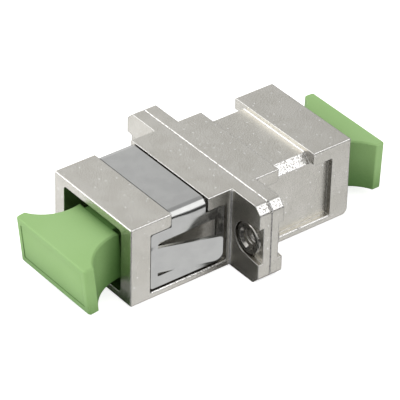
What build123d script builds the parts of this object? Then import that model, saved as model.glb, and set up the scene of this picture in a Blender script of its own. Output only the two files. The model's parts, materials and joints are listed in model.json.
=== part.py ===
from build123d import *
from math import atan2, cos, radians, sin, tan
import os

# Simplex push-pull fibre optic adapter with a metal housing.
# X is the optical axis. The front half, with the panel clip, lies towards -X.
# The origin is on the optical axis, in the seam between the two housing halves.
# All sizes are in millimetres.

# Housing body
body_width = 12.9
body_height = 9.28
half_length = 13.92
edge_round = 0.15
front_foot_round = 0.25
rear_foot_round = 0.7

# Flange plate of one half
flange_thickness = 1.5
flange_corner = 0.8
flange_foot_round = 0.45
flange_root_round = 0.35
seam_chamfer = 0.08
seam_corner_bevel = 0.2

# Port that takes a connector, with a keyway in its floor
port_width = 9.6
port_height = 7.45
port_corner = 0.4
keyway_width = 2.4
keyway_depth = 0.4
keyway_length = 5.2

# Recess for the clip's web, and the pocket in each side for the clip's leg
end_block_length = 4.92
neck_end = 4.44
recess_depth = 0.55
pocket_depth = 0.6
recess_corner = 0.9
riser_round = 0.2
pocket_front = 11.5
pocket_rear = 1.95
pocket_top = 3.12
pocket_floor_lip = 0.75
pocket_lip_edge = 0.1
pocket_corner = 0.15

# Ears of the flange and their hollow rivets
ear_spacing = 18.0
ear_end = 2.0
ear_pocket_radius = 1.9
ear_pocket_flare = radians(6.8)
ear_pocket_depth = 0.55
rivet_bore = 2.1
rivet_barrel = 3.0
rivet_head = 3.5
rivet_head_height = 0.4
rivet_head_edge = 0.1
rivet_mouth = 2.55
rivet_mouth_depth = 0.3
rivet_clearance = 0.05

# Spring clip of folded strip
sheet = 0.4
clip_gap = 0.07
bend_radius = 0.5
leg_front_gap = 0.15
leg_top_gap = 0.18
leg_foot_gap = 0.28
leg_rear_gap = 0.42
leg_corner = 0.3
web_front_gap = 0.13
web_rear_gap = 0.22
leg_step_corner = 0.25
block_step_corner = 0.35
neck_step_corner = 0.1
window_front = 10.5
window_rear = 2.95
window_top = 1.7
window_bottom = -2.35
window_corner = 0.15
slit_corner = 0.3
tongue_root = 10.3
tongue_root_top = 1.03
tongue_root_bottom = -1.95
tongue_tip = 3.72
tongue_tip_top = 0.76
tongue_tip_bottom = -2.08
tongue_reach = 1.73
tongue_bend = 1.2
tongue_top_corner = 0.35
tongue_bottom_corner = 0.95

# Latch inserts, clamped in a seat at the seam
seat_width = 10.5
seat_height = 8.1
seat_depth = 1.0
seat_gap = 0.1
seat_corner = 0.5
holder_radius = 2.25
holder_lip = 0.4
holder_lip_bore = 2.9
arm_gap = 0.35
arm_thickness = 0.8
arm_height = 3.4
hook_start = 7.5
hook_end = 8.9
hook_flat = 0.6
hook_opening = 6.6
hook_face_slope = 0.1

# Ceramic alignment sleeve
sleeve_bore = 2.5
sleeve_outside = 3.2
sleeve_length = 11.4
sleeve_slit = 0.4
sleeve_gap = 0.05
sleeve_end_gap = 0.1

# Dust plug, seen from above as a finger plate, a waisted grip and an insert
plug_height = 5.6
plug_edge = 0.15
plate_width = 11.75
plate_thickness = 1.1
plate_corner = 0.35
plate_back_corner = 0.2
panel_border = 0.75
panel_depth = 0.06
grip_waist_width = 6.4
grip_waist_place = 5.3
grip_length = 6.0
insert_height = 5.5
insert_width = 4.6
insert_length = 5.2
insert_lead = 0.5

# How each plug hangs in its port: place of the middle of its outer face, and droop
front_plug_out = 19.37
front_plug_aside = -0.89
front_plug_low = 0.46
front_plug_droop = 6.4
rear_plug_out = 19.02
rear_plug_aside = 0.0
rear_plug_low = 0.94
rear_plug_droop = 2.2

# Sizes worked out from the driving dimensions
half_width = body_width / 2
half_height = body_height / 2
recess_front = half_length - end_block_length
pocket_floor = half_width - pocket_depth
recess_floor = half_height - recess_depth
pocket_bottom = -half_height + pocket_floor_lip
ear_place = ear_spacing / 2
flange_width = ear_spacing + 2 * ear_end
flare_start = ear_pocket_radius * sin(ear_pocket_flare)
flare_start_rise = ear_pocket_radius * cos(ear_pocket_flare)
rivet_hole_radius = rivet_barrel / 2 + rivet_clearance
rivet_grip = flange_thickness - ear_pocket_depth
rivet_end = rivet_grip + rivet_head_height
leg_inside = pocket_floor + clip_gap
leg_outside = leg_inside + sheet
web_inside = recess_floor + clip_gap
web_outside = web_inside + sheet
web_front = recess_front - web_front_gap
web_rear = neck_end + web_rear_gap
leg_front = pocket_front - leg_front_gap
leg_rear = pocket_rear + leg_rear_gap
leg_top = pocket_top - leg_top_gap
leg_foot = pocket_bottom + leg_foot_gap
bend_start = web_outside - sheet - bend_radius
web_middle = (web_outside + leg_top) / 2
tongue_start = (leg_front + window_front) / 2
scallop_run = grip_waist_place - plate_thickness
scallop_rise = (plate_width - grip_waist_width) / 2
scallop_radius = (scallop_run**2 + scallop_rise**2) / (2 * scallop_rise)
scallop_place = grip_waist_width / 2 + scallop_radius
arm_outside = port_width / 2 - arm_gap
arm_inside = arm_outside - arm_thickness
sleeve_bore_radius = sleeve_bore / 2
sleeve_radius = sleeve_outside / 2
sleeve_seat_radius = sleeve_radius + sleeve_gap
holder_reach = sleeve_length / 2 + sleeve_end_gap + holder_lip
riser_half_width = pocket_floor - recess_corner
cut_margin = 1.0
flare_end = ear_end + cut_margin
flare_end_rise = flare_start_rise + (flare_start + flare_end) * tan(ear_pocket_flare)

os.makedirs("parts", exist_ok=True)


def make_housing(foot_round):
    """One die-cast half, as it lies at the front: seam at x = 0, port towards -X."""
    with BuildPart() as housing:
        # Body block with softened edges, rounder at the foot of its end
        with BuildSketch(Plane.XZ) as outline:
            with Locations((-half_length / 2, 0)):
                Rectangle(half_length, body_height)
            foot = outline.vertices().sort_by_distance((-half_length, -half_height))[0]
            fillet(foot, radius=foot_round)
        extrude(amount=half_width, both=True)
        sides = housing.faces().filter_by(Axis.Y)
        side_edges = (sides[0].edges() + sides[1].edges()).sort_by(Axis.X)[:-2]
        top_edge = housing.edges().filter_by(Axis.Y).sort_by_distance((-half_length, 0, half_height))[0]
        fillet(side_edges + [top_edge], radius=edge_round)

        # Flange plate with its top corners cut off and its lower corners rounded
        with BuildSketch(Plane.YZ.offset(-flange_thickness)) as flange:
            Rectangle(flange_width, body_height)
            chamfer(flange.vertices().group_by(Axis.Z)[-1], length=flange_corner)
            fillet(flange.vertices().group_by(Axis.Z)[0], radius=flange_foot_round)
        extrude(amount=flange_thickness)
        seam_face = housing.faces().filter_by(Axis.X).sort_by(Axis.X)[-1]
        chamfer(seam_face.edges(), length=seam_chamfer)

        # Wider bevel at the seam across each cut-off corner
        for side in (-1, 1):
            corner_middle = (0, side * (flange_width - flange_corner) / 2, half_height - flange_corner / 2)
            with BuildSketch(Plane(origin=corner_middle, x_dir=(1, 0, 0), z_dir=(0, 1, -side))):
                with BuildLine():
                    Polyline(
                        (-seam_corner_bevel, 0),
                        (-seam_corner_bevel, -seam_corner_bevel),
                        (seam_corner_bevel, -seam_corner_bevel),
                        (seam_corner_bevel, 2 * seam_corner_bevel),
                        close=True,
                    )
                make_face()
            extrude(amount=flange_corner, both=True, mode=Mode.SUBTRACT)

        # Hollow curve where each side of the body runs out into the flange
        for side in (-1, 1):
            root_x = -flange_thickness - flange_root_round
            root_y = side * (half_width + flange_root_round)
            with BuildSketch(Plane.XY.offset(-half_height + edge_round)):
                with Locations((root_x + flange_root_round / 2, root_y - side * flange_root_round / 2)):
                    Rectangle(flange_root_round, flange_root_round)
                with Locations((root_x, root_y)):
                    Circle(flange_root_round, mode=Mode.SUBTRACT)
            extrude(amount=body_height - 2 * edge_round)

        # Port, right through, and its keyway
        with BuildSketch(Plane.YZ.offset(-half_length)) as port:
            Rectangle(port_width, port_height)
            fillet(port.vertices(), radius=port_corner)
        extrude(amount=half_length, mode=Mode.SUBTRACT)
        with BuildSketch(Plane.YZ.offset(-half_length)):
            with Locations((0, -port_height / 2)):
                Rectangle(keyway_width, 2 * keyway_depth)
        extrude(amount=keyway_length, mode=Mode.SUBTRACT)

        # Seat for the latch insert's base plate
        with BuildSketch(Plane.YZ.offset(-seat_depth)) as seat:
            Rectangle(seat_width, seat_height)
            fillet(seat.vertices(), radius=seat_corner)
        extrude(amount=seat_depth, mode=Mode.SUBTRACT)

        # Recess across the top for the clip's web, with its long corners cut away
        with BuildSketch(Plane.YZ.offset(-recess_front)):
            with BuildLine():
                Polyline(
                    (-half_width - cut_margin, pocket_top),
                    (-pocket_floor, pocket_top),
                    (-pocket_floor, recess_floor - recess_corner),
                    (-pocket_floor + recess_corner, recess_floor),
                    (pocket_floor - recess_corner, recess_floor),
                    (pocket_floor, recess_floor - recess_corner),
                    (pocket_floor, pocket_top),
                    (half_width + cut_margin, pocket_top),
                    (half_width + cut_margin, half_height + cut_margin),
                    (-half_width - cut_margin, half_height + cut_margin),
                    close=True,
                )
            make_face()
        extrude(amount=recess_front - neck_end, mode=Mode.SUBTRACT)

        # Hollow curve where the recess runs up to the end block
        with BuildSketch(Plane.XZ.offset(-riser_half_width)):
            with Locations((-recess_front + riser_round / 2, recess_floor + riser_round / 2)):
                Rectangle(riser_round, riser_round)
            with Locations((-recess_front + riser_round, recess_floor + riser_round)):
                Circle(riser_round, mode=Mode.SUBTRACT)
        extrude(amount=2 * riser_half_width)

        # Pocket in each side for the clip's leg, open to the recess above, with a bevelled lip below
        for side in (-1, 1):
            with BuildSketch(Plane.XZ.offset(side * pocket_floor)) as pocket:
                with Locations((-(pocket_front + pocket_rear) / 2, (pocket_top + pocket_bottom) / 2)):
                    Rectangle(pocket_front - pocket_rear, pocket_top - pocket_bottom)
                with Locations((-(recess_front + neck_end) / 2, half_height)):
                    Rectangle(recess_front - neck_end, 2 * (half_height - pocket_top))
                level_corners = pocket.vertices().group_by(Axis.Y)[1].sort_by(Axis.X)
                outer_corners = pocket.vertices().group_by(Axis.Y)[0] + level_corners[0:1] + level_corners[3:4]
                fillet(outer_corners, radius=pocket_corner)
                block_step = pocket.vertices().sort_by_distance((-recess_front, pocket_top))[0]
                fillet(block_step, radius=block_step_corner)
                neck_step = pocket.vertices().sort_by_distance((-neck_end, pocket_top))[0]
                fillet(neck_step, radius=neck_step_corner)
            extrude(amount=side * (pocket_depth + cut_margin), mode=Mode.SUBTRACT)
            with BuildSketch(Plane.YZ.offset(-pocket_front + pocket_corner)):
                with BuildLine():
                    Polyline(
                        (side * (half_width - pocket_lip_edge), pocket_bottom),
                        (side * half_width, pocket_bottom - pocket_lip_edge),
                        (side * (half_width + cut_margin), pocket_bottom - pocket_lip_edge),
                        (side * (half_width + cut_margin), pocket_bottom),
                        close=True,
                    )
                make_face()
            extrude(amount=pocket_front - pocket_rear - 2 * pocket_corner, mode=Mode.SUBTRACT)

        # Round-ended pocket in each ear, open to the ear's end, and the rivet's hole
        for side in (-1, 1):
            with BuildSketch(Plane.YZ.offset(-flange_thickness)):
                with Locations((side * ear_place, 0)):
                    Circle(ear_pocket_radius)
                with BuildLine():
                    Polyline(
                        (side * (ear_place - flare_start), flare_start_rise),
                        (side * (ear_place + flare_end), flare_end_rise),
                        (side * (ear_place + flare_end), -flare_end_rise),
                        (side * (ear_place - flare_start), -flare_start_rise),
                        close=True,
                    )
                make_face()
            extrude(amount=ear_pocket_depth, mode=Mode.SUBTRACT)
            with BuildSketch(Plane.YZ.offset(-flange_thickness)):
                with Locations((side * ear_place, 0)):
                    Circle(rivet_hole_radius)
            extrude(amount=flange_thickness, mode=Mode.SUBTRACT)
    return housing.part


def make_latch_insert():
    """Base plate, sleeve holder and two hooked arms, reaching towards -X."""
    with BuildPart() as insert:
        with BuildSketch(Plane.YZ.offset(-seat_depth + seat_gap / 2)) as plate:
            Rectangle(seat_width - 2 * seat_gap, seat_height - 2 * seat_gap)
            fillet(plate.vertices(), radius=seat_corner)
        extrude(amount=seat_depth - seat_gap)

        # Sleeve holder, with a lip at its end that keeps the sleeve in
        with BuildSketch(Plane.YZ.offset(-holder_reach)):
            Circle(holder_radius)
        extrude(amount=holder_reach - seat_depth + seat_gap)
        with BuildSketch(Plane.YZ.offset(-holder_reach + holder_lip)):
            Circle(sleeve_seat_radius)
        extrude(amount=holder_reach, mode=Mode.SUBTRACT)
        with BuildSketch(Plane.YZ.offset(-holder_reach)):
            Circle(holder_lip_bore / 2)
        extrude(amount=holder_reach, mode=Mode.SUBTRACT)

        # Latch arms with hooks that face each other
        for side in (-1, 1):
            with BuildSketch(Plane.XY.offset(-arm_height / 2)):
                with BuildLine():
                    Polyline(
                        (-seat_depth / 2, side * arm_inside),
                        (-hook_start, side * arm_inside),
                        (-hook_start - hook_face_slope, side * hook_opening / 2),
                        (-hook_start - hook_face_slope - hook_flat, side * hook_opening / 2),
                        (-hook_end, side * (arm_inside + hook_face_slope)),
                        (-hook_end, side * arm_outside),
                        (-seat_depth / 2, side * arm_outside),
                        close=True,
                    )
                make_face()
            extrude(amount=arm_height)
    return insert.part


def make_rivet(side):
    """Hollow rivet in one ear: a flat head in front and a rolled rim behind."""
    axis_place = side * ear_place
    with BuildPart() as rivet:
        with BuildSketch(Plane.XY) as profile:
            with BuildLine():
                Polyline(
                    (-rivet_end, axis_place + rivet_mouth / 2),
                    (-rivet_end, axis_place + rivet_head / 2),
                    (-rivet_grip, axis_place + rivet_head / 2),
                    (-rivet_grip, axis_place + rivet_barrel / 2),
                    (rivet_grip, axis_place + rivet_barrel / 2),
                    (rivet_grip, axis_place + rivet_head / 2),
                    (rivet_end, axis_place + rivet_head / 2),
                    (rivet_end, axis_place + rivet_mouth / 2),
                    (rivet_end - rivet_mouth_depth, axis_place + rivet_bore / 2),
                    (-rivet_end + rivet_mouth_depth, axis_place + rivet_bore / 2),
                    close=True,
                )
            make_face()
            rim = profile.vertices().group_by(Axis.Y)[-1]
            outer_rim = rim.group_by(Axis.X)[0] + rim.group_by(Axis.X)[-1]
            chamfer(outer_rim, length=rivet_head_edge)
        revolve(axis=Axis((0, axis_place, 0), (1, 0, 0)))
    return rivet.part


def make_bent_web():
    """Web of the clip over the top of the body, and its bend into each leg."""
    with BuildPart() as web:
        with BuildSketch(Plane.YZ.offset(-web_front)) as section:
            with Locations((0, web_middle)):
                Rectangle(2 * leg_outside, web_outside - leg_top)
            fillet(section.vertices().group_by(Axis.Y)[-1], radius=bend_radius + sheet)
        extrude(amount=web_front - web_rear)
        with BuildSketch(Plane.YZ.offset(-web_front)) as hollow:
            with Locations((0, web_middle - sheet)):
                Rectangle(2 * leg_inside, web_outside - leg_top)
            fillet(hollow.vertices().group_by(Axis.Y)[-1], radius=bend_radius)
        extrude(amount=web_front - web_rear, mode=Mode.SUBTRACT)
    return web.part


def make_leg():
    """Flat leg on the -Y side, stepped up to the bend, with the tongue's window."""
    with BuildPart() as leg:
        with BuildSketch(Plane.XZ.offset(leg_inside)) as outline:
            with BuildLine():
                Polyline(
                    (-leg_front, leg_foot),
                    (-leg_front, leg_top),
                    (-web_front, leg_top),
                    (-web_front, bend_start),
                    (-web_rear, bend_start),
                    (-web_rear, leg_top),
                    (-leg_rear, leg_top),
                    (-leg_rear, leg_foot),
                    close=True,
                )
            make_face()
            shoulder = outline.vertices().group_by(Axis.Y)[1]
            inner_shoulder = shoulder.sort_by(Axis.X)[1:3]
            outer_shoulder = shoulder.sort_by(Axis.X)[0:1] + shoulder.sort_by(Axis.X)[3:4]
            fillet(outer_shoulder + outline.vertices().group_by(Axis.Y)[0], radius=leg_corner)
            fillet(inner_shoulder, radius=leg_step_corner)
        extrude(amount=sheet)
        with BuildSketch(Plane.XZ.offset(leg_inside)) as window:
            with Locations((-(window_front + window_rear) / 2, (window_top + window_bottom) / 2)):
                Rectangle(window_front - window_rear, window_top - window_bottom)
            fillet(window.vertices().group_by(Axis.X)[0].sort_by(Axis.Y)[-1], radius=slit_corner)
            fillet(window.vertices().group_by(Axis.X)[0].sort_by(Axis.Y)[0], radius=window_corner)
            fillet(window.vertices().group_by(Axis.X)[-1], radius=window_corner)
        extrude(amount=sheet, mode=Mode.SUBTRACT)
    return leg.part


def make_tongue():
    """Sprung tongue on the -Y side: a bent strip, cut to its outline from the side."""
    turn = atan2(tongue_reach, tongue_root - tongue_tip)
    tip_inside = (-tongue_tip + sheet * sin(turn), -leg_outside - tongue_reach + sheet * cos(turn))
    bend_inside = (-tongue_root + sheet * tan(turn / 2), -leg_inside)
    with BuildPart() as tongue:
        with BuildSketch(Plane.XY.offset(-half_height)) as strip:
            with BuildLine():
                Polyline(
                    (-tongue_start, -leg_inside),
                    bend_inside,
                    tip_inside,
                    (-tongue_tip, -leg_outside - tongue_reach),
                    (-tongue_root, -leg_outside),
                    (-tongue_start, -leg_outside),
                    close=True,
                )
            make_face()
            inner_bend = strip.vertices().sort_by_distance((-tongue_root, -leg_outside))[0]
            fillet(inner_bend, radius=tongue_bend)
            outer_bend = strip.vertices().sort_by_distance(bend_inside)[0]
            fillet(outer_bend, radius=tongue_bend + sheet)
        extrude(amount=body_height)
        with BuildSketch(Plane.XZ) as outline:
            with BuildLine():
                Polyline(
                    (-tongue_start, tongue_root_top),
                    (-tongue_root, tongue_root_top),
                    (-tongue_tip, tongue_tip_top),
                    (-tongue_tip, tongue_tip_bottom),
                    (-tongue_root, tongue_root_bottom),
                    (-tongue_start, tongue_root_bottom),
                    close=True,
                )
            make_face()
            tip = outline.vertices().group_by(Axis.X)[-1]
            fillet(tip.sort_by(Axis.Y)[-1], radius=tongue_top_corner)
            fillet(outline.vertices().group_by(Axis.X)[-1].sort_by(Axis.Y)[0], radius=tongue_bottom_corner)
        extrude(amount=leg_outside + tongue_reach + cut_margin, mode=Mode.INTERSECT)
    return tongue.part


def make_dust_plug():
    """Plug laid out from the middle of its outer face, inwards along +X."""
    with BuildPart() as plug:
        # Finger plate and waisted grip in one outline, with softened edges
        with BuildSketch(Plane.XY.offset(-plug_height / 2)) as outline:
            with Locations((grip_length / 2, 0)):
                Rectangle(grip_length, plate_width)
            with Locations((grip_waist_place, scallop_place), (grip_waist_place, -scallop_place)):
                Circle(scallop_radius, mode=Mode.SUBTRACT)
            fillet(outline.vertices().group_by(Axis.X)[0], radius=plate_corner)
            for side in (-1, 1):
                back_corner = outline.vertices().sort_by_distance((plate_thickness, side * plate_width / 2))[0]
                fillet(back_corner, radius=plate_back_corner)
        extrude(amount=plug_height)
        top_and_bottom = plug.faces().sort_by(Axis.Z)
        chamfer(top_and_bottom[0].edges() + top_and_bottom[-1].edges(), length=plug_edge)

        # Shallow panel in the outer face
        with BuildSketch(Plane.YZ):
            Rectangle(plate_width - 2 * panel_border, plug_height - 2 * panel_border)
        extrude(amount=panel_depth, mode=Mode.SUBTRACT)

        # Narrow insert with a lead-in, between the latch hooks
        with BuildSketch(Plane.YZ.offset(grip_length - plug_edge)):
            Rectangle(insert_width, insert_height)
        extrude(amount=insert_length + plug_edge)
        chamfer(plug.faces().sort_by(Axis.X)[-1].edges(), length=insert_lead)
    return plug.part


# Front half of the housing, and the same form turned round for the rear half
with BuildPart() as front_housing:
    add(make_housing(front_foot_round))
front_housing.part.label = "front_housing"
export_step(front_housing.part, "parts/front_housing.step")

with BuildPart() as rear_housing:
    add(make_housing(rear_foot_round), rotation=(0, 0, 180))
rear_housing.part.label = "rear_housing"
export_step(rear_housing.part, "parts/rear_housing.step")

# Spring clip: web, two legs and two tongues in one folded strip
with BuildPart() as panel_clip:
    add(make_bent_web())
    add(make_leg())
    add(make_tongue())
    mirror(about=Plane.XZ)
panel_clip.part.label = "panel_clip"
export_step(panel_clip.part, "parts/panel_clip.step")

# Hollow rivets in the two ears
with BuildPart() as left_rivet:
    add(make_rivet(1))
left_rivet.part.label = "left_rivet"
export_step(left_rivet.part, "parts/left_rivet.step")

with BuildPart() as right_rivet:
    add(make_rivet(-1))
right_rivet.part.label = "right_rivet"
export_step(right_rivet.part, "parts/right_rivet.step")

# Latch inserts, back to back at the seam
with BuildPart() as front_latch_insert:
    add(make_latch_insert())
front_latch_insert.part.label = "front_latch_insert"
export_step(front_latch_insert.part, "parts/front_latch_insert.step")

with BuildPart() as rear_latch_insert:
    add(make_latch_insert(), rotation=(0, 0, 180))
rear_latch_insert.part.label = "rear_latch_insert"
export_step(rear_latch_insert.part, "parts/rear_latch_insert.step")

# Slit alignment sleeve across both inserts
with BuildPart() as split_sleeve:
    with BuildSketch(Plane.YZ.offset(-sleeve_length / 2)):
        Circle(sleeve_radius)
        Circle(sleeve_bore_radius, mode=Mode.SUBTRACT)
        with Locations((0, sleeve_radius)):
            Rectangle(sleeve_slit, sleeve_outside, mode=Mode.SUBTRACT)
    extrude(amount=sleeve_length)
split_sleeve.part.label = "split_sleeve"
export_step(split_sleeve.part, "parts/split_sleeve.step")

# Dust plugs, each hanging a little low in its port with its outer end drooping
front_plug_place = Location(
    (-front_plug_out, front_plug_aside, -front_plug_low),
    (0, -front_plug_droop, 0),
)
with BuildPart() as front_dust_plug:
    with Locations(front_plug_place):
        add(make_dust_plug())
front_dust_plug.part.label = "front_dust_plug"
export_step(front_dust_plug.part, "parts/front_dust_plug.step")

rear_plug_place = Location(
    (rear_plug_out, rear_plug_aside, -rear_plug_low),
    (0, rear_plug_droop, 180),
)
with BuildPart() as rear_dust_plug:
    with Locations(rear_plug_place):
        add(make_dust_plug())
rear_dust_plug.part.label = "rear_dust_plug"
export_step(rear_dust_plug.part, "parts/rear_dust_plug.step")
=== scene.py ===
import json
from math import cos, pi, radians, sin

import bpy
from mathutils import Matrix, Vector


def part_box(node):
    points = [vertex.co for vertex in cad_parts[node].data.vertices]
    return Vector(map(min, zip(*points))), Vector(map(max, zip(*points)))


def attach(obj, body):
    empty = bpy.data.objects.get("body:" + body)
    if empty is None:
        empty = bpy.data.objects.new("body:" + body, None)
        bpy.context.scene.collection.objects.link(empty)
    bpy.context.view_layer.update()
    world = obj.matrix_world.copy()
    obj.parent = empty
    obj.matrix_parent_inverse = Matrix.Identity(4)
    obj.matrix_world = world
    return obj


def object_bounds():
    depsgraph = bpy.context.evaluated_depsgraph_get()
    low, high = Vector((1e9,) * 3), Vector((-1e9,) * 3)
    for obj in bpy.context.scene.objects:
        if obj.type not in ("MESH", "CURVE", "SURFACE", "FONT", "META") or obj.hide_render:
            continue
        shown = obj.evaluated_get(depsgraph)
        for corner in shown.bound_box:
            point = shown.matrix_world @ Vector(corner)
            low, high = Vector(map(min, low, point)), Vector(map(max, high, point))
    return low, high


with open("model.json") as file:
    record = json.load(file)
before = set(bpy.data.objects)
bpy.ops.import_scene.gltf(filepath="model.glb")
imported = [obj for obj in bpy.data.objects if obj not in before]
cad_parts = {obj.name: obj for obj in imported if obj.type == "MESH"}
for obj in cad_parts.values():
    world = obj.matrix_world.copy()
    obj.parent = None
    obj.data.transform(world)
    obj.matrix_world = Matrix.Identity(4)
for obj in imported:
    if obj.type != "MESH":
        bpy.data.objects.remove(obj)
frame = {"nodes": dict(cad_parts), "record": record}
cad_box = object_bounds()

MM = 0.001
nodes = frame["nodes"]
mounts = {mount["name"]: mount for mount in frame["record"]["mounts"]}

# Camera, solved from the housing's straight edges and fitted to the object's outline
CAMERA_AZIMUTH = radians(-38.302)
CAMERA_ELEVATION = radians(34.751)
CAMERA_ROLL = radians(1.387)
CAMERA_DISTANCE = 296.51 * MM
CAMERA_ASIDE = -0.320 * MM
CAMERA_UP = -0.793 * MM
CAMERA_NEAR = 10 * MM
CAMERA_FAR = 20000 * MM
SENSOR_WIDTH = 36.0
FOCAL_LENGTH = 262.61

# Floor: its size, its gap under the object, its paleness, its glow to the camera and its gloss in the metal
FLOOR_SIZE = 4000 * MM
FLOOR_GAP = 0.02 * MM
FLOOR_WHITE = 0.9
FLOOR_GLOW = 0.78
FLOOR_GLOSS = 0.57
FLOOR_BLUR = 0.05

# Room as a light, brighter towards the window
WINDOW_SIDE = (-0.79, 0.61, 0)
LIGHT_COLOR = (1, 0.985, 0.96, 1)
LIGHT_LOW = 0.2
LIGHT_HIGH = 0.93

# Room as the metal shows it: two levels that meet in a soft edge, a dark horizon in front and a dark corner
SEEN_LOW = 0.46
SEEN_HIGH = 0.88
SEEN_EDGE = (-0.14, 0.14)
FRONT_SIDE = (0, -1, 0)
FRONT_SPREAD = (0.2, 0.5)
HORIZON_HEIGHT = (0.05, 0.3)
HORIZON_LEVEL = 0.05
DARK_CORNER = (-0.509, -0.646, 0.569)
CORNER_SPREAD = (0.86, 0.97)
CORNER_LEVEL = 0.07

# Softboxes: the direction from the object, the width and the brightness of each
SOFTBOX_DISTANCE = 500 * MM
SOFTBOXES = {
    "right_softbox": ((0.33, -0.7, 0.63), 480 * MM, 1.02),
    "back_softbox": ((-0.53, 0.65, 0.54), 420 * MM, 0.94),
}

# Thread in each hollow rivet, along X
RIVET_BORE_RADIUS = mounts["flange_holes"]["dims"]["hole_r_mm"] * MM
THREAD_PITCH = 0.4 * MM
THREAD_DEPTH = 0.16 * MM
THREAD_ROOT = 0.02 * MM
THREAD_FROM = -1.0 * MM
THREAD_LENGTH = 2.0 * MM
THREAD_STEPS = 32
THREAD_CORNERS = 4

# Noise runs around its middle. Clouds change colour and grain changes the roughness between these levels
NOISE_MIDDLE = 0.5
CRISP_CLOUDS = (0.35, 0.65)
SOFT_CLOUDS = (0.3, 0.7)
GRAIN_LEVELS = (0.3, 0.7)

# Soft edges and painted shade in corners: the rays of each, an edge's turn as a cosine, and a corner's reach
EDGE_RAYS = 6
EDGE_TURN = (0.8, 0.99)
CORNER_RAYS = 8
CORNER_REACH = 0.5 * MM

# Cast skin: grains, clouds, pits and painted glints in a millimetre
CAST_GRAINS = 6.0
CAST_CLOUDS = 0.4
CAST_PITS = 5.4
CAST_GLINTS = 2.6

# Where pits, painted glints and the painted highlight on slanted faces show. A face's straightness is 1 when
# it is square to an axis, 0.71 on a chamfer
PIT_LEVELS = (0.39, 0.46)
CHAMFER_STRAIGHTNESS = (0.72, 0.78)
PITS_ON_CHAMFERS = 0.72
PITS_ON_FACES = 0.04
# Painted highlight on slanted faces
HIGHLIGHT_STRAIGHTNESS = (0.8, 0.97)
# Painted glints: their size, and the share of cells without one
GLINT_RADIUS = (0.16, 0.32)
CELLS_WITHOUT_GLINT = 0.9

# Nickel plating of the housing, with painted shade in its corners, painted highlights on its edges and slanted
# faces, and painted glints
NICKEL_DULL = (0.7, 0.68, 0.625, 1)
NICKEL_CLEAR = (0.75, 0.73, 0.678, 1)
# Painted glint colour
NICKEL_PAINTED_GLINT = (0.95, 0.94, 0.91, 1)
# Painted highlight colour, on edges and slanted faces
NICKEL_PAINTED_HIGHLIGHT = (0.97, 0.96, 0.94, 1)
NICKEL_PIT = (0.2, 0.18, 0.15, 1)
# Painted shade in corners and gaps, with the levels of its mask
NICKEL_PAINTED_SHADE = (0.12, 0.1, 0.078, 1)
NICKEL_DEEP = 0.18
NICKEL_OPEN = 0.53
NICKEL_ROUGHNESS = (0.17, 0.25)
NICKEL_EDGE = 0.13 * MM
NICKEL_GRAIN_DEPTH = 0.04 * MM

# Drawn metal of the clip and the rivets: clouds in a millimetre
DRAWN_CLOUDS = 0.6

# Rolled strip of the clip, with lines and warps in a millimetre. The warp fades out over two spans of
# height, in millimetres: under the bend and over the tongue
STRIP_DULL = (0.575, 0.579, 0.57, 1)
STRIP_CLEAR = (0.615, 0.619, 0.608, 1)
# Painted shade in the strip's corners and gaps, with the levels of its mask
STRIP_PAINTED_SHADE = (0.12, 0.11, 0.1, 1)
STRIP_DEEP = 0.22
STRIP_OPEN = 0.56
STRIP_ROUGHNESS = (0.16, 0.22)
STRIP_LINES = 9.0
STRIP_STRETCH = 0.08
STRIP_LINE_DEPTH = 0.003 * MM
STRIP_LINE_STRENGTH = 0.1
STRIP_WARPS = 0.22
WARP_DEPTH = 0.85 * MM
WARP_UNDER_BEND = (2.6, 4.2)
WARP_OVER_TONGUE = (0.7, 1.7)

# Plating of the rivets, whose lines are an even grain
RIVET_DULL = (0.5, 0.485, 0.45, 1)
RIVET_CLEAR = (0.6, 0.585, 0.55, 1)
RIVET_ROUGHNESS = (0.16, 0.26)
RIVET_LINES = 6.0
RIVET_STRETCH = 1.0
RIVET_EDGE = 0.08 * MM

# Moulded pieces: two tones each, and painted shade, a deeper tint where little light comes
GREEN_TONES = ((0.41, 0.675, 0.265, 1), (0.44, 0.705, 0.295, 1))
IVORY_TONES = ((0.72, 0.7, 0.62, 1), (0.77, 0.75, 0.68, 1))
CERAMIC_TONES = ((0.88, 0.86, 0.82, 1), (0.92, 0.9, 0.87, 1))
MOULDED_PAINTED_SHADE = (0.3, 0.4, 0.27, 1)
MOULDED_REACH = 5 * MM
MOULDED_DEEP = 0.4
MOULDED_OPEN = 1.0
MOULDED_SHINE = 0.25
MOULDED_GRAINS = 7.0
MOULDED_GRAIN_DEPTH = 0.01 * MM
MOULDED_GRAIN_STRENGTH = 0.15
MOULDED_ROUGHNESS_SPREAD = 0.04


def fill(tree, made, sockets):
    """Sets or links the named inputs of a node."""
    for name, value in sockets.items():
        if isinstance(value, bpy.types.NodeSocket):
            tree.links.new(value, made.inputs[name])
        else:
            made.inputs[name].default_value = value
    return made


def node(tree, kind, sockets=None, **settings):
    """Adds a node with its options, and fills its inputs."""
    made = tree.nodes.new(kind)
    for name, value in settings.items():
        setattr(made, name, value)
    return fill(tree, made, sockets or {})


def math_of(tree, operation, first, second=0.0, third=0.0):
    """One arithmetic step on values or sockets."""
    return node(tree, "ShaderNodeMath", {0: first, 1: second, 2: third}, operation=operation).outputs[0]


def remap(tree, value, span, out_low, out_high):
    """Moves a value smoothly from a span to another range."""
    low, high = span
    sockets = {"Value": value, "From Min": low, "From Max": high, "To Min": out_low, "To Max": out_high}
    return node(tree, "ShaderNodeMapRange", sockets, interpolation_type="SMOOTHSTEP").outputs[0]


def noise(tree, place, scale, detail, roughness=0.5):
    """A noise pattern between 0 and 1."""
    sockets = {"Vector": place, "Scale": scale, "Detail": detail, "Roughness": roughness}
    return node(tree, "ShaderNodeTexNoise", sockets).outputs[0]


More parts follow.
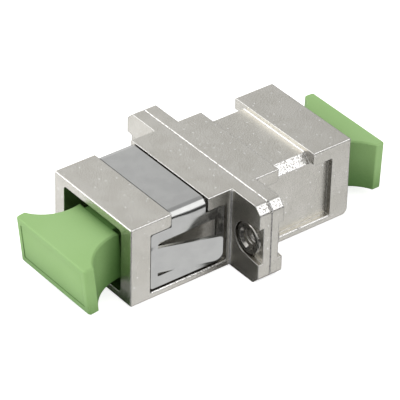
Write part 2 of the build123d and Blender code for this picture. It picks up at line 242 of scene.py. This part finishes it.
def blend_colors(tree, mask, low, high):
    """Mixes two colours by a mask. The node's colour inputs share their names, so they go by number."""
    made = node(tree, "ShaderNodeMix", data_type="RGBA")
    fill(tree, made, {0: mask, 6: low, 7: high})
    return made.outputs[2]


def facing(tree, toward, direction):
    """How nearly a ray or a normal points in a direction: 1 along it, 0 across it."""
    made = node(tree, "ShaderNodeVectorMath", {0: toward, 1: direction}, operation="DOT_PRODUCT")
    return made.outputs["Value"]


def raise_surface(tree, height, depth, strength=1.0, normal=None):
    """A normal tilted by a height, on the surface or on another tilted normal."""
    sockets = {"Strength": strength, "Distance": depth, "Height": height}
    if normal is not None:
        sockets["Normal"] = normal
    return node(tree, "ShaderNodeBump", sockets).outputs[0]


def new_group(name, inputs, outputs):
    """An empty shader group with named inputs and outputs."""
    group = bpy.data.node_groups.new(name, "ShaderNodeTree")
    for label, kind, value in inputs:
        socket = group.interface.new_socket(label, in_out="INPUT", socket_type=kind)
        if value is not None:
            socket.default_value = value
    for label, kind in outputs:
        group.interface.new_socket(label, in_out="OUTPUT", socket_type=kind)
    entry = group.nodes.new("NodeGroupInput")
    end = group.nodes.new("NodeGroupOutput")
    return group, entry.outputs, end


def make_skin():
    """The fine grain and slow clouds of a cast or moulded skin."""
    group, given, end = new_group(
        "skin",
        [
            ("Place", "NodeSocketVector", None),
            ("Grains per mm", "NodeSocketFloat", CAST_GRAINS),
            ("Clouds per mm", "NodeSocketFloat", CAST_CLOUDS),
        ],
        [("Height", "NodeSocketFloat"), ("Cloud", "NodeSocketFloat")],
    )
    grain = noise(group, given["Place"], given["Grains per mm"], detail=3.0, roughness=0.7)
    cloud = noise(group, given["Place"], given["Clouds per mm"], detail=2.0)
    fill(group, end, {"Height": grain, "Cloud": cloud})
    return group


def make_pits_and_painted_highlights():
    """Rare painted glints, pits on the chamfers, and a painted highlight on slanted stretches such as
    chamfers.
    """
    group, given, end = new_group(
        "pits_and_painted_highlights",
        [
            ("Place", "NodeSocketVector", None),
            ("Face", "NodeSocketVector", None),
            ("Pits per mm", "NodeSocketFloat", CAST_PITS),
            ("Glints per mm", "NodeSocketFloat", CAST_GLINTS),
        ],
        [("Pits", "NodeSocketFloat"), ("Slant highlight", "NodeSocketFloat"), ("Glint", "NodeSocketFloat")],
    )
    # Painted glints: bright specks in a few rare cells
    cells = node(group, "ShaderNodeTexVoronoi", {"Vector": given["Place"], "Scale": given["Glints per mm"]})
    near = remap(group, cells.outputs["Distance"], GLINT_RADIUS, 1.0, 0.0)
    draw = node(group, "ShaderNodeSeparateColor", {"Color": cells.outputs["Color"]}).outputs["Red"]
    chosen = math_of(group, "GREATER_THAN", draw, CELLS_WITHOUT_GLINT)
    glint = math_of(group, "MULTIPLY", near, chosen)
    turned = node(group, "ShaderNodeVectorMath", {0: given["Face"]}, operation="ABSOLUTE")
    x, y, z = node(group, "ShaderNodeSeparateXYZ", {0: turned.outputs[0]}).outputs
    straightness = math_of(group, "MAXIMUM", math_of(group, "MAXIMUM", x, y), z)
    depth = remap(group, straightness, CHAMFER_STRAIGHTNESS, PITS_ON_CHAMFERS, PITS_ON_FACES)
    coarse = noise(group, given["Place"], given["Pits per mm"], detail=1.0)
    pits = math_of(group, "MULTIPLY", remap(group, coarse, PIT_LEVELS, 1.0, 0.0), depth)
    # Painted highlight on slanted faces such as chamfers
    slant_highlight = remap(group, straightness, HIGHLIGHT_STRAIGHTNESS, 1.0, 0.0)
    fill(group, end, {"Pits": pits, "Slant highlight": slant_highlight, "Glint": glint})
    return group


def make_soft_edge():
    """A normal rounded over a small radius, and a mask of the edges that it rounds."""
    group, given, end = new_group(
        "soft_edge",
        [("Radius", "NodeSocketFloat", NICKEL_EDGE)],
        [("Normal", "NodeSocketVector"), ("Edge", "NodeSocketFloat")],
    )
    rounded = node(group, "ShaderNodeBevel", {"Radius": given["Radius"]}, samples=EDGE_RAYS).outputs[0]
    surface = node(group, "ShaderNodeNewGeometry")
    alignment = facing(group, rounded, surface.outputs["Normal"])
    fill(group, end, {"Normal": rounded, "Edge": remap(group, alignment, EDGE_TURN, 1.0, 0.0)})
    return group


def make_painted_corner_shade():
    """A mask of painted shade for the narrow gaps and deep corners that collect little light."""
    group, given, end = new_group(
        "painted_corner_shade",
        [
            ("Reach", "NodeSocketFloat", CORNER_REACH),
            ("Deep", "NodeSocketFloat", NICKEL_DEEP),
            ("Open", "NodeSocketFloat", NICKEL_OPEN),
        ],
        [("Painted shade", "NodeSocketFloat")],
    )
    # Painted shade follows how closely nearby surfaces hide the sky
    around = node(group, "ShaderNodeAmbientOcclusion", {"Distance": given["Reach"]}, samples=CORNER_RAYS)
    painted_shade = remap(group, around.outputs["AO"], (given["Deep"], given["Open"]), 1.0, 0.0)
    fill(group, end, {"Painted shade": painted_shade})
    return group


def make_drawn_lines():
    """Fine lines along X, as rolling leaves them, and slow clouds. At a stretch of 1 the lines are a grain."""
    group, given, end = new_group(
        "drawn_lines",
        [
            ("Place", "NodeSocketVector", None),
            ("Lines per mm", "NodeSocketFloat", STRIP_LINES),
            ("Stretch", "NodeSocketFloat", STRIP_STRETCH),
        ],
        [("Height", "NodeSocketFloat"), ("Cloud", "NodeSocketFloat")],
    )
    along = node(group, "ShaderNodeCombineXYZ", {0: given["Stretch"], 1: 1.0, 2: 1.0}).outputs[0]
    drawn = node(group, "ShaderNodeVectorMath", {0: given["Place"], 1: along}, operation="MULTIPLY")
    lines = noise(group, drawn.outputs[0], given["Lines per mm"], detail=2.0, roughness=0.6)
    cloud = noise(group, given["Place"], DRAWN_CLOUDS, detail=2.0)
    fill(group, end, {"Height": lines, "Cloud": cloud})
    return group


def new_material(name):
    """An empty node material with its output node."""
    material = bpy.data.materials.new(name)
    material.use_nodes = True
    tree = material.node_tree
    tree.nodes.clear()
    output = tree.nodes.new("ShaderNodeOutputMaterial")
    return material, tree, output


def shade(tree, output, sockets):
    """Ends a material in a Principled shader."""
    shader = node(tree, "ShaderNodeBsdfPrincipled", sockets)
    tree.links.new(shader.outputs[0], output.inputs["Surface"])


def place_in_mm(tree):
    """Object coordinates in millimetres."""
    place = node(tree, "ShaderNodeTexCoord").outputs["Object"]
    return node(tree, "ShaderNodeVectorMath", {0: place, "Scale": 1 / MM}, operation="SCALE").outputs[0]


def face_of(tree):
    """The surface normal in object coordinates."""
    return node(tree, "ShaderNodeTexCoord").outputs["Normal"]


def use(tree, group, sockets):
    """Places a shared group in a material."""
    made = tree.nodes.new("ShaderNodeGroup")
    made.node_tree = group
    return fill(tree, made, sockets).outputs


def make_cast_nickel():
    """Satin nickel plating over a fine cast skin, with a painted highlight on its edges and slanted faces,
    painted glints, and painted shade in its corners.
    """
    material, tree, output = new_material("satin_cast_nickel")
    place = place_in_mm(tree)
    grain = use(tree, skin, {"Place": place, "Grains per mm": CAST_GRAINS, "Clouds per mm": CAST_CLOUDS})
    pits_and_highlights = use(tree, pits_and_painted_highlights, {"Place": place, "Face": face_of(tree)})
    edge = use(tree, soft_edge, {"Radius": NICKEL_EDGE})
    corner = use(tree, painted_corner_shade, {"Deep": NICKEL_DEEP, "Open": NICKEL_OPEN})
    cloud = remap(tree, grain["Cloud"], CRISP_CLOUDS, 0, 1)
    color = blend_colors(tree, cloud, NICKEL_DULL, NICKEL_CLEAR)
    # Painted glints
    color = blend_colors(tree, pits_and_highlights["Glint"], color, NICKEL_PAINTED_GLINT)
    # Painted highlight on slanted faces such as chamfers
    color = blend_colors(tree, pits_and_highlights["Slant highlight"], color, NICKEL_PAINTED_HIGHLIGHT)
    color = blend_colors(tree, pits_and_highlights["Pits"], color, NICKEL_PIT)
    # Painted highlight along the edges
    color = blend_colors(tree, edge["Edge"], color, NICKEL_PAINTED_HIGHLIGHT)
    # Painted shade: corners and gaps that collect little light are painted darker
    color = blend_colors(tree, corner["Painted shade"], color, NICKEL_PAINTED_SHADE)
    rough = remap(tree, grain["Height"], GRAIN_LEVELS, *NICKEL_ROUGHNESS)
    normal = raise_surface(tree, grain["Height"], NICKEL_GRAIN_DEPTH, normal=edge["Normal"])
    shade(tree, output, {"Base Color": color, "Metallic": 1.0, "Roughness": rough, "Normal": normal})
    return material


def warp_of_leg(tree, place):
    """The slow warp of the clip's legs between the bend and the tongue."""
    height = node(tree, "ShaderNodeSeparateXYZ", {0: place}).outputs["Z"]
    under_bend = remap(tree, height, WARP_UNDER_BEND, 1.0, 0.0)
    over_tongue = remap(tree, height, WARP_OVER_TONGUE, 0.0, 1.0)
    leg = math_of(tree, "MULTIPLY", under_bend, over_tongue)
    slow = noise(tree, place, STRIP_WARPS, detail=0.0)
    return math_of(tree, "MULTIPLY", math_of(tree, "SUBTRACT", slow, NOISE_MIDDLE), leg)


def make_strip_steel():
    """Smooth rolled strip, slightly warped in its legs, with painted shade in its corners and gaps."""
    material, tree, output = new_material("rolled_strip_steel")
    place = place_in_mm(tree)
    drawn = use(tree, drawn_lines, {"Place": place, "Lines per mm": STRIP_LINES, "Stretch": STRIP_STRETCH})
    corner = use(tree, painted_corner_shade, {"Deep": STRIP_DEEP, "Open": STRIP_OPEN})
    color = blend_colors(tree, remap(tree, drawn["Cloud"], SOFT_CLOUDS, 0, 1), STRIP_DULL, STRIP_CLEAR)
    # Painted shade in the corners and gaps
    color = blend_colors(tree, corner["Painted shade"], color, STRIP_PAINTED_SHADE)
    rough = remap(tree, drawn["Height"], GRAIN_LEVELS, *STRIP_ROUGHNESS)
    warped = raise_surface(tree, warp_of_leg(tree, place), WARP_DEPTH)
    normal = raise_surface(tree, drawn["Height"], STRIP_LINE_DEPTH, STRIP_LINE_STRENGTH, warped)
    shade(tree, output, {"Base Color": color, "Metallic": 1.0, "Roughness": rough, "Normal": normal})
    return material


def make_rivet_plating():
    """Bright plating of the hollow rivets and their thread."""
    material, tree, output = new_material("plated_rivet")
    place = place_in_mm(tree)
    drawn = use(tree, drawn_lines, {"Place": place, "Lines per mm": RIVET_LINES, "Stretch": RIVET_STRETCH})
    edge = use(tree, soft_edge, {"Radius": RIVET_EDGE})
    color = blend_colors(tree, remap(tree, drawn["Cloud"], CRISP_CLOUDS, 0, 1), RIVET_DULL, RIVET_CLEAR)
    rough = remap(tree, drawn["Height"], GRAIN_LEVELS, *RIVET_ROUGHNESS)
    shade(tree, output, {"Base Color": color, "Metallic": 1.0, "Roughness": rough, "Normal": edge["Normal"]})
    return material


def make_moulded(name, tones, roughness, edge_radius, clouds):
    """A moulded skin with slow tone clouds and soft edges, and painted shade, deeper in tone, where little
    light comes.
    """
    material, tree, output = new_material(name)
    low, high = tones
    place = place_in_mm(tree)
    grain = use(tree, skin, {"Place": place, "Grains per mm": MOULDED_GRAINS, "Clouds per mm": clouds})
    edge = use(tree, soft_edge, {"Radius": edge_radius})
    corner = use(tree, painted_corner_shade, {"Reach": MOULDED_REACH, "Deep": MOULDED_DEEP, "Open": MOULDED_OPEN})
    # Painted shade: a deeper, more saturated tone where little light comes
    deep = tuple(tint * part for tint, part in zip(MOULDED_PAINTED_SHADE, low))
    color = blend_colors(tree, remap(tree, grain["Cloud"], SOFT_CLOUDS, 0, 1), low, high)
    color = blend_colors(tree, corner["Painted shade"], color, deep)
    smooth = roughness - MOULDED_ROUGHNESS_SPREAD
    dull = roughness + MOULDED_ROUGHNESS_SPREAD
    rough = remap(tree, grain["Height"], GRAIN_LEVELS, smooth, dull)
    normal = raise_surface(
        tree, grain["Height"], MOULDED_GRAIN_DEPTH, MOULDED_GRAIN_STRENGTH, edge["Normal"]
    )
    shade(
        tree,
        output,
        {"Base Color": color, "Roughness": rough, "Specular IOR Level": MOULDED_SHINE, "Normal": normal},
    )
    return material


def dress(name, material):
    """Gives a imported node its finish."""
    mesh = nodes[name].data
    mesh.materials.clear()
    mesh.materials.append(material)


def make_thread_tree(material):
    """Geometry Nodes: a ridge wound along X, of square section with one corner up."""
    tree = bpy.data.node_groups.new("wound_thread", "GeometryNodeTree")
    tree.interface.new_socket("Geometry", in_out="INPUT", socket_type="NodeSocketGeometry")
    for label in ("Radius", "Length", "Turns", "Ridge"):
        tree.interface.new_socket(label, in_out="INPUT", socket_type="NodeSocketFloat")
    tree.interface.new_socket("Geometry", in_out="OUTPUT", socket_type="NodeSocketGeometry")
    given = tree.nodes.new("NodeGroupInput").outputs
    end = tree.nodes.new("NodeGroupOutput")
    helix = node(
        tree,
        "GeometryNodeCurveSpiral",
        {
            "Resolution": THREAD_STEPS,
            "Rotations": given["Turns"],
            "Start Radius": given["Radius"],
            "End Radius": given["Radius"],
            "Height": given["Length"],
        },
    )
    lying = node(tree, "GeometryNodeTransform", {"Geometry": helix.outputs[0], "Rotation": (0, pi / 2, 0)})
    section = node(
        tree,
        "GeometryNodeCurvePrimitiveCircle",
        {"Resolution": THREAD_CORNERS, "Radius": given["Ridge"]},
    )
    ridge = node(
        tree,
        "GeometryNodeCurveToMesh",
        {"Curve": lying.outputs[0], "Profile Curve": section.outputs[0], "Fill Caps": True},
    )
    real = node(tree, "GeometryNodeRealizeInstances", {"Geometry": ridge.outputs[0]})
    dressed = node(tree, "GeometryNodeSetMaterial", {"Geometry": real.outputs[0], "Material": material})
    tree.links.new(dressed.outputs[0], end.inputs["Geometry"])
    return tree


def socket_ids(tree):
    """Input names of a tree, each with its identifier."""
    return {item.name: item.identifier for item in tree.interface.items_tree if item.in_out == "INPUT"}


def add_thread(name, tree, axis_y):
    """Winds the thread in one rivet's bore and keeps it as a plain mesh."""
    seed = bpy.data.objects.new(name + "_seed", bpy.data.meshes.new(name + "_seed"))
    bpy.context.collection.objects.link(seed)
    modifier = seed.modifiers.new("wind", "NODES")
    modifier.node_group = tree
    ids = socket_ids(tree)
    modifier[ids["Radius"]] = RIVET_BORE_RADIUS + THREAD_ROOT
    modifier[ids["Length"]] = THREAD_LENGTH
    modifier[ids["Turns"]] = THREAD_LENGTH / THREAD_PITCH
    modifier[ids["Ridge"]] = THREAD_DEPTH
    seed.update_tag()
    graph = bpy.context.evaluated_depsgraph_get()
    mesh = bpy.data.meshes.new_from_object(seed.evaluated_get(graph))
    bpy.data.objects.remove(seed)
    mesh.transform(Matrix.Translation((THREAD_FROM, axis_y, 0)))
    mesh.name = name
    piece = bpy.data.objects.new(name, mesh)
    bpy.context.collection.objects.link(piece)
    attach(piece, "adapter")


def add_camera():
    """The camera, looking along the solved direction at a point near the frame's origin."""
    flat = cos(CAMERA_ELEVATION)
    back = Vector((sin(CAMERA_AZIMUTH) * flat, -cos(CAMERA_AZIMUTH) * flat, sin(CAMERA_ELEVATION)))
    right = Vector((0, 0, 1)).cross(back).normalized()
    up = back.cross(right)
    rolled_right = right * cos(CAMERA_ROLL) + up * sin(CAMERA_ROLL)
    rolled_up = up * cos(CAMERA_ROLL) - right * sin(CAMERA_ROLL)
    place = back * CAMERA_DISTANCE + right * CAMERA_ASIDE + up * CAMERA_UP
    lens = bpy.data.cameras.new("camera")
    lens.sensor_width = SENSOR_WIDTH
    lens.lens = FOCAL_LENGTH
    lens.clip_start = CAMERA_NEAR
    lens.clip_end = CAMERA_FAR
    camera = bpy.data.objects.new("camera", lens)
    camera.matrix_world = Matrix(
        (
            (rolled_right.x, rolled_up.x, back.x, place.x),
            (rolled_right.y, rolled_up.y, back.y, place.y),
            (rolled_right.z, rolled_up.z, back.z, place.z),
            (0, 0, 0, 1),
        )
    )
    bpy.context.collection.objects.link(camera)
    bpy.context.scene.camera = camera


def add_softbox(name, direction, width, brightness):
    """A square lamp in a direction from the object, turned towards it. Its power follows from its area."""
    lamp = bpy.data.lights.new(name, "AREA")
    lamp.shape = "SQUARE"
    lamp.size = width
    lamp.energy = brightness * pi * width**2
    piece = bpy.data.objects.new(name, lamp)
    outward = Vector(direction).normalized()
    piece.location = outward * SOFTBOX_DISTANCE
    piece.rotation_euler = outward.to_track_quat("Z", "Y").to_euler()
    bpy.context.collection.objects.link(piece)


def add_floor():
    """A wide pale floor, which keeps the object's shadow and shows in the metal as a dim mirror."""
    low = cad_box[0][2] - FLOOR_GAP
    half = FLOOR_SIZE / 2
    mesh = bpy.data.meshes.new("floor")
    corners = [(-half, -half, low), (half, -half, low), (half, half, low), (-half, half, low)]
    mesh.from_pydata(corners, [], [(0, 1, 2, 3)])
    floor = bpy.data.objects.new("floor", mesh)
    bpy.context.collection.objects.link(floor)
    material, tree, output = new_material("pale_floor")
    path = node(tree, "ShaderNodeLightPath").outputs
    pale = (FLOOR_WHITE, FLOOR_WHITE, FLOOR_WHITE, 1)
    diffuse = node(tree, "ShaderNodeBsdfDiffuse", {"Color": pale}).outputs[0]
    strength = math_of(tree, "MULTIPLY", path["Is Camera Ray"], FLOOR_GLOW)
    glow = node(tree, "ShaderNodeEmission", {"Strength": strength}).outputs[0]
    lit = node(tree, "ShaderNodeAddShader", {0: diffuse, 1: glow}).outputs[0]
    dim = (FLOOR_GLOSS, FLOOR_GLOSS, FLOOR_GLOSS, 1)
    mirror = node(tree, "ShaderNodeBsdfGlossy", {"Color": dim, "Roughness": FLOOR_BLUR}).outputs[0]
    seen = node(tree, "ShaderNodeMixShader", {0: path["Is Glossy Ray"], 1: lit, 2: mirror})
    tree.links.new(seen.outputs[0], output.inputs["Surface"])
    mesh.materials.append(material)


def set_world():
    """A pale room: white to the camera, brighter on the window's side, and darker in front in the metal."""
    world = bpy.data.worlds.new("room")
    world.use_nodes = True
    tree = world.node_tree
    tree.nodes.clear()
    output = tree.nodes.new("ShaderNodeOutputWorld")
    path = node(tree, "ShaderNodeLightPath").outputs
    toward = node(tree, "ShaderNodeTexCoord").outputs["Generated"]
    window = facing(tree, toward, WINDOW_SIDE)
    light = remap(tree, window, (-1, 1), LIGHT_LOW, LIGHT_HIGH)
    room = node(tree, "ShaderNodeBackground", {"Color": LIGHT_COLOR, "Strength": light}).outputs[0]
    level = remap(tree, window, SEEN_EDGE, SEEN_LOW, SEEN_HIGH)
    height = math_of(tree, "ABSOLUTE", facing(tree, toward, (0, 0, 1)))
    above = remap(tree, height, HORIZON_HEIGHT, HORIZON_LEVEL, 1)
    front = remap(tree, facing(tree, toward, FRONT_SIDE), FRONT_SPREAD, 0, 1)
    horizon = math_of(tree, "MULTIPLY_ADD", front, math_of(tree, "SUBTRACT", above, 1), 1)
    corner = remap(tree, facing(tree, toward, DARK_CORNER), CORNER_SPREAD, 1, CORNER_LEVEL)
    strength = math_of(tree, "MULTIPLY", level, math_of(tree, "MULTIPLY", horizon, corner))
    in_metal = node(tree, "ShaderNodeBackground", {"Color": (1, 1, 1, 1), "Strength": strength}).outputs[0]
    white = node(tree, "ShaderNodeBackground", {"Color": (1, 1, 1, 1)}).outputs[0]
    around = node(tree, "ShaderNodeMixShader", {0: path["Is Glossy Ray"], 1: room, 2: in_metal}).outputs[0]
    seen = node(tree, "ShaderNodeMixShader", {0: path["Is Camera Ray"], 1: around, 2: white})
    tree.links.new(seen.outputs[0], output.inputs["Surface"])
    bpy.context.scene.world = world


skin = make_skin()
pits_and_painted_highlights = make_pits_and_painted_highlights()
soft_edge = make_soft_edge()
painted_corner_shade = make_painted_corner_shade()
drawn_lines = make_drawn_lines()

cast_nickel = make_cast_nickel()
strip_steel = make_strip_steel()
rivet_plating = make_rivet_plating()
green_plastic = make_moulded("green_plastic", GREEN_TONES, roughness=0.42, edge_radius=0.15 * MM, clouds=0.15)
insert_plastic = make_moulded("insert_plastic", IVORY_TONES, roughness=0.5, edge_radius=0.08 * MM, clouds=0.3)
zirconia = make_moulded("zirconia", CERAMIC_TONES, roughness=0.16, edge_radius=0.04 * MM, clouds=0.5)

finishes = {
    "front_housing": cast_nickel,
    "rear_housing": cast_nickel,
    "panel_clip": strip_steel,
    "left_rivet": rivet_plating,
    "right_rivet": rivet_plating,
    "front_latch_insert": insert_plastic,
    "rear_latch_insert": insert_plastic,
    "split_sleeve": zirconia,
    "front_dust_plug": green_plastic,
    "rear_dust_plug": green_plastic,
}
for name, material in finishes.items():
    dress(name, material)

thread_tree = make_thread_tree(rivet_plating)
for name in ("left_rivet", "right_rivet"):
    low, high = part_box(name)
    add_thread(name + "_thread", thread_tree, (low.y + high.y) / 2)

add_camera()
add_floor()
set_world()
for name, (direction, width, brightness) in SOFTBOXES.items():
    add_softbox(name, direction, width, brightness)
bpy.context.scene.view_settings.view_transform = "Standard"
